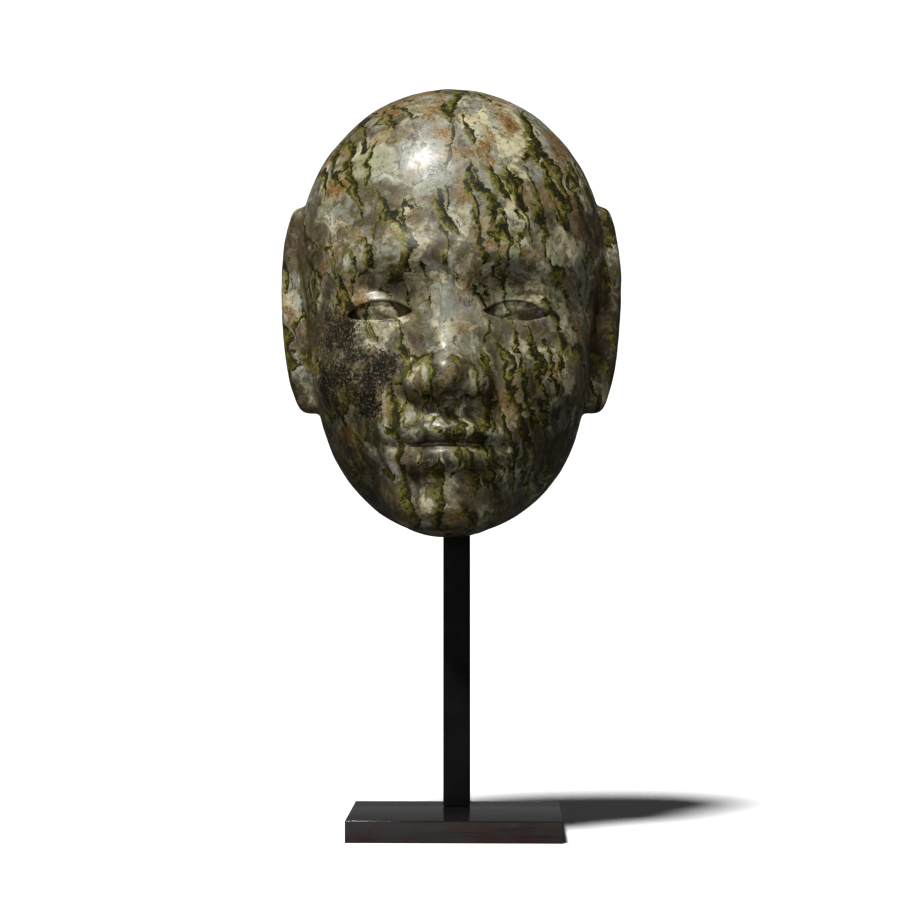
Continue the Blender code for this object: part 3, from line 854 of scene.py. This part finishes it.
    def weathered(self, stone):
        """The worn patch, brown and then black towards its middle with tan flecks, and the scratches."""
        colours = self.colours
        worn = self.patches(WEATHERED_PATCHES)
        worn = self.number("MULTIPLY", worn, self.between(self.split(self.pattern)[1], -3.0, -9.0))
        worn = self.number("MULTIPLY", worn, self.number("SUBTRACT", 1.0, self.inside))
        self.browned = self.between(self.number("ADD", worn, self.uneven), 0.0, 0.7)
        stone = self.tinted(stone, colours.dusk, self.browned, 0.7)
        sooty = self.added(worn, self.number("SUBTRACT", self.broad, 0.5), 3.0)
        sooty = self.between(self.added(sooty, self.gritty, 2.0), 0.34, 1.0)
        self.sooty = self.number("MULTIPLY", sooty, self.between(worn, 0.05, 0.3))
        stone = self.tinted(stone, colours.soot, self.sooty, 0.93)
        flecks = self.number("MULTIPLY", self.between(self.mottle, 0.55, 0.63), self.browned)
        stone = self.tinted(stone, colours.tan, flecks, 0.60)
        self.scratched = 0.0
        for start, end in SCRATCHES:
            self.scratched = self.number("MAXIMUM", self.scratched, self.vein(start, end, 0.5))
        return self.tinted(stone, colours.umber, self.scratched, 0.8)

    def polish(self):
        """A soft gloss, dull on the worn patch and in the hollow, and the fine relief."""
        rough = self.added(0.32, self.mottle, 0.16)
        rough = self.added(self.added(rough, self.browned, 0.08), self.inside, 0.35)
        self.give(self.shader.inputs["Roughness"], rough)
        self.shader.inputs["Specular IOR Level"].default_value = 0.45
        self.shader.inputs["Coat Weight"].default_value = 0.22
        self.shader.inputs["Coat Roughness"].default_value = 0.25
        height = self.added(self.added(self.mottle, self.hair, -0.8), self.sooty, -0.5)
        self.raise_grain(self.number("SUBTRACT", height, self.scratched), strength=0.25, depth=0.00025)

    def made(self):
        """The finished material."""
        bedded = self.bedding()
        stone = self.stained(self.ground())
        stone = self.streaked(self.smeared(stone, bedded), bedded)
        stone = self.weathered(stone)
        # The hollow was never polished: paler, dusty and dull
        dusty = self.number("MULTIPLY", self.inside, self.between(self.clouds, 0.20, 0.62))
        stone = self.tinted(stone, self.colours.dust, dusty, 0.6)
        self.give(self.shader.inputs["Base Color"], stone)
        self.polish()
        return self.material


def steel_grain(finish, stretch):
    """Brushing along one way, and the clouds of the patina."""
    grain = finish.noise(finish.stretched(finish.place, scale=stretch), BRUSHING, detail=4, rough=0.7)
    swirled = finish.warped(finish.place, PATINA_CLOUD, PATINA_SWIRL)
    cloud = finish.noise(swirled, PATINA_CLOUD, detail=4, rough=0.6)
    return grain, cloud


def finish_steel(finish, colour, rough, grain):
    """The waxed surface over a steel's colours."""
    finish.give(finish.shader.inputs["Base Color"], colour)
    finish.give(finish.shader.inputs["Roughness"], rough)
    finish.shader.inputs["Metallic"].default_value = 0.25
    finish.raise_grain(grain, strength=0.10, depth=0.0001)
    return finish.material


def blackened_steel(colours):
    """The post's steel, brushed along it and black all over."""
    finish = Finish("Blackened steel")
    grain, cloud = steel_grain(finish, stretch=(1, 1, 0.06))
    colour = finish.mix(finish.between(cloud, 0.40, 0.66), colours.black, colours.jet)
    colour = finish.tinted(colour, colours.jet, finish.between(grain, 0.46, 0.70), 0.6)
    return finish_steel(finish, colour, finish.added(0.30, grain, 0.20), grain)


def browned_steel(colours, top):
    """The foot's steel: brown brushed edges with a red bloom, and a darker top that mirrors like wax."""
    finish = Finish("Browned steel")
    grain, cloud = steel_grain(finish, stretch=(0.05, 0.3, 1))
    colour = finish.mix(finish.between(cloud, 0.46, 0.62), colours.brown, colours.red)
    colour = finish.tinted(colour, colours.scuffed, finish.between(grain, 0.44, 0.68), 0.65)
    height = finish.split(finish.place)[2]
    lowest_edge = finish.between(height, 0.0011, 0.0002)
    colour = finish.tinted(colour, colours.rusted, lowest_edge, 0.6)
    on_top = finish.between(height, top - 0.0006, top - 0.0001)
    waxed = finish.mix(finish.between(cloud, 0.35, 0.65), colours.black, colours.scuffed)
    waxed = finish.tinted(waxed, colours.brown, finish.between(grain, 0.50, 0.68), 0.6)
    colour = finish.mix(on_top, colour, waxed)
    rough = finish.added(finish.added(0.34, on_top, -0.25), grain, 0.06)
    return finish_steel(finish, colour, rough, grain)


class MASK_OT_carve_mask(bpy.types.Operator):
    """Carves the mask from a block of greenstone"""

    bl_idname = "mask_on_stand.carve_mask"
    bl_label = "Carve the mask"

    def execute(self, context):
        sizes, stand = context.scene.mask_sizes, context.scene.stand_sizes
        low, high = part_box("mask")
        room = Vector((0.004, 0.004, 0.004))
        low, high = Vector(low) - room, Vector(high) + room
        mask = block("carved_mask", low, high)
        origin = mask_origin(sizes, stand)
        carving = Carving("Carving", sizes, origin)
        stone = carve_head(carving)
        for carve in (carve_brows_and_cheeks, carve_eyes, carve_nose, carve_mouth, carve_chin, carve_ears):
            stone = carve(carving, stone)
        stone, hollow = carve_back(carving, stone)
        stone = carve_chips(carving, stone)
        mesh = carving.surface(stone, low, high)
        marks, inside = peck(carving, hollow)
        mesh = carving.keep(mesh, "inside", inside)
        depth = carving.number("ADD", wear(carving), marks)
        mesh = carving.sink(mesh, depth)
        cut = mask.modifiers.new("Carving", "NODES")
        cut.node_group = carving.finish(mesh)
        apply_all(mask)
        lighter = mask.modifiers.new("Fewer faces", "DECIMATE")
        lighter.ratio = min(1.0, sizes.triangles / (2 * len(mask.data.polygons)))
        apply_all(mask)
        mask.data.shade_smooth()
        stone = Greenstone(context.scene.stone_colours, origin, carving.unit)
        dress(mask, stone.made(), "mask")
        return {"FINISHED"}


class MASK_OT_make_post(bpy.types.Operator):
    """Makes the square post"""

    bl_idname = "mask_on_stand.make_post"
    bl_label = "Make the post"

    def execute(self, context):
        stand, steel = context.scene.stand_sizes, context.scene.steel_colours
        low, high = (Vector(corner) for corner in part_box("post"))
        low.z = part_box("foot")[1][2]
        post = block("square_post", low, high)
        ease_edges(post, stand.post_edge)
        dress(post, blackened_steel(steel), "post")
        return {"FINISHED"}


class MASK_OT_make_foot(bpy.types.Operator):
    """Makes the flat foot"""

    bl_idname = "mask_on_stand.make_foot"
    bl_label = "Make the foot"

    def execute(self, context):
        stand, steel = context.scene.stand_sizes, context.scene.steel_colours
        foot = block("flat_foot", *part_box("foot"))
        ease_edges(foot, stand.foot_edge)
        dress(foot, browned_steel(steel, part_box("foot")[1][2]), "foot")
        return {"FINISHED"}


def lay_floor():
    bpy.ops.mesh.primitive_plane_add(size=FLOOR_SIDE, location=(0, 0, 0))
    floor = bpy.context.object
    floor.name = "floor"
    floor.visible_diffuse = floor.visible_glossy = False
    pale = Finish("Pale floor")
    pale.shader.inputs["Base Color"].default_value = (0.82, 0.82, 0.82, 1)
    pale.shader.inputs["Roughness"].default_value = 0.9
    pale.shader.inputs["Specular IOR Level"].default_value = 0.0
    floor.data.materials.append(pale.material)
    return floor


def lit_pieces(name, floor, state):
    """A light's list of what it lights: only the floor, or all but the floor."""
    listed = bpy.data.collections.new(name)
    listed.objects.link(floor)
    listed.collection_objects[0].light_linking.link_state = state
    return listed


def soft_light(name, place, energy, spread, lights, glossy):
    """A light far away at this side, so many degrees wide."""
    bpy.ops.object.light_add(type="SUN", location=place)
    light = bpy.context.object
    light.name = name
    light.rotation_euler = Vector(place).to_track_quat("Z", "Y").to_euler()
    light.data.energy = energy
    light.data.angle = math.radians(spread)
    light.visible_glossy = glossy
    light.light_linking.receiver_collection = lights


def set_lights(stage, floor):
    """The floor has a light of its own, and only the key light shows in the polish."""
    only = lit_pieces("Lit by the floor's light", floor, "INCLUDE")
    others = lit_pieces("Lit by the other lights", floor, "EXCLUDE")
    soft_light("floor_light", stage.floor_from, stage.floor_strength, spread=11, lights=only, glossy=True)
    soft_light("key_light", stage.key_from, stage.key_strength, spread=9, lights=others, glossy=True)
    soft_light("front_light", stage.front_from, stage.front_strength, spread=60, lights=others, glossy=False)
    soft_light("back_light", stage.back_from, stage.back_strength, spread=40, lights=others, glossy=False)
    soft_light("side_light", stage.side_from, stage.side_strength, spread=40, lights=others, glossy=False)


def set_card(glowing):
    """A pale card far behind, which shows only in the foot's polished top."""
    deselect_all()
    turn = (math.pi / 2, 0, 0)
    bpy.ops.mesh.primitive_plane_add(size=1, location=CARD_MIDDLE, rotation=turn, scale=CARD_SIZE)
    card = bpy.context.object
    card.name = "card"
    card.visible_camera = card.visible_diffuse = card.visible_shadow = False
    glow = Finish("Card")
    glow.shader.inputs["Base Color"].default_value = (0, 0, 0, 1)
    glow.shader.inputs["Emission Color"].default_value = (1, 1, 1, 1)
    glow.shader.inputs["Emission Strength"].default_value = glowing
    card.data.materials.append(glow.material)


def set_world(scene, fill_strength):
    """White paper behind the object, and a weak light from all round."""
    world = bpy.data.worlds.new("Studio")
    scene.world = world
    world.use_nodes = True
    nodes, links = world.node_tree.nodes, world.node_tree.links
    fill = nodes["Background"]
    fill.inputs["Color"].default_value = (1, 1, 1, 1)
    fill.inputs["Strength"].default_value = fill_strength
    paper = nodes.new("ShaderNodeBackground")
    paper.inputs["Color"].default_value = (1, 1, 1, 1)
    both = nodes.new("ShaderNodeMixShader")
    links.new(nodes.new("ShaderNodeLightPath").outputs["Is Camera Ray"], both.inputs[0])
    links.new(fill.outputs[0], both.inputs[1])
    links.new(paper.outputs[0], both.inputs[2])
    links.new(both.outputs[0], nodes["World Output"].inputs["Surface"])


def set_camera(scene, stage):
    bpy.ops.object.camera_add(location=stage.camera_place)
    camera = bpy.context.object
    camera.name = "camera"
    yaw, pitch = math.radians(stage.camera_yaw), math.radians(stage.camera_pitch)
    camera.rotation_euler = (math.pi / 2 + pitch, 0, yaw)
    camera.data.lens = stage.lens
    camera.data.sensor_width = 36
    camera.data.clip_start = 0.01
    scene.camera = camera


class MASK_OT_set_stage(bpy.types.Operator):
    """Sets the floor, the lights and the camera"""

    bl_idname = "mask_on_stand.set_stage"
    bl_label = "Set the stage"

    def execute(self, context):
        scene, stage = context.scene, context.scene.stage_settings
        deselect_all()
        floor = lay_floor()
        set_lights(stage, floor)
        set_card(stage.card_strength)
        set_world(scene, stage.fill)
        set_camera(scene, stage)
        scene.view_settings.view_transform = "Standard"
        scene.view_settings.look = "Medium High Contrast"
        return {"FINISHED"}


class MASK_PT_panel(bpy.types.Panel):
    """Buttons for the mask and its stand"""

    bl_idname = "MASK_PT_panel"
    bl_label = "Mask on a Stand"
    bl_space_type = "VIEW_3D"
    bl_region_type = "UI"
    bl_category = "Mask"

    def draw(self, context):
        for operator in OPERATORS:
            self.layout.operator(operator.bl_idname)
        for name in SETTINGS:
            group = getattr(context.scene, name)
            box = self.layout.box()
            for setting in group.bl_rna.properties:
                if setting.identifier not in ("rna_type", "name"):
                    box.prop(group, setting.identifier)


OPERATORS = (MASK_OT_set_stage, MASK_OT_carve_mask, MASK_OT_make_post, MASK_OT_make_foot)
SETTINGS = {
    "mask_sizes": MaskSizes,
    "stone_colours": StoneColours,
    "stand_sizes": StandSizes,
    "steel_colours": SteelColours,
    "stage_settings": StageSettings,
}


def register():
    for each in (*SETTINGS.values(), *OPERATORS, MASK_PT_panel):
        bpy.utils.register_class(each)
    for name, group in SETTINGS.items():
        setattr(bpy.types.Scene, name, PointerProperty(type=group))


def unregister():
    for name in SETTINGS:
        delattr(bpy.types.Scene, name)
    for each in (MASK_PT_panel, *OPERATORS, *SETTINGS.values()):
        bpy.utils.unregister_class(each)


def main():
    register()
    bpy.ops.mask_on_stand.set_stage()
    bpy.ops.mask_on_stand.carve_mask()
    bpy.ops.mask_on_stand.make_post()
    bpy.ops.mask_on_stand.make_foot()


if __name__ == "__main__":
    main()
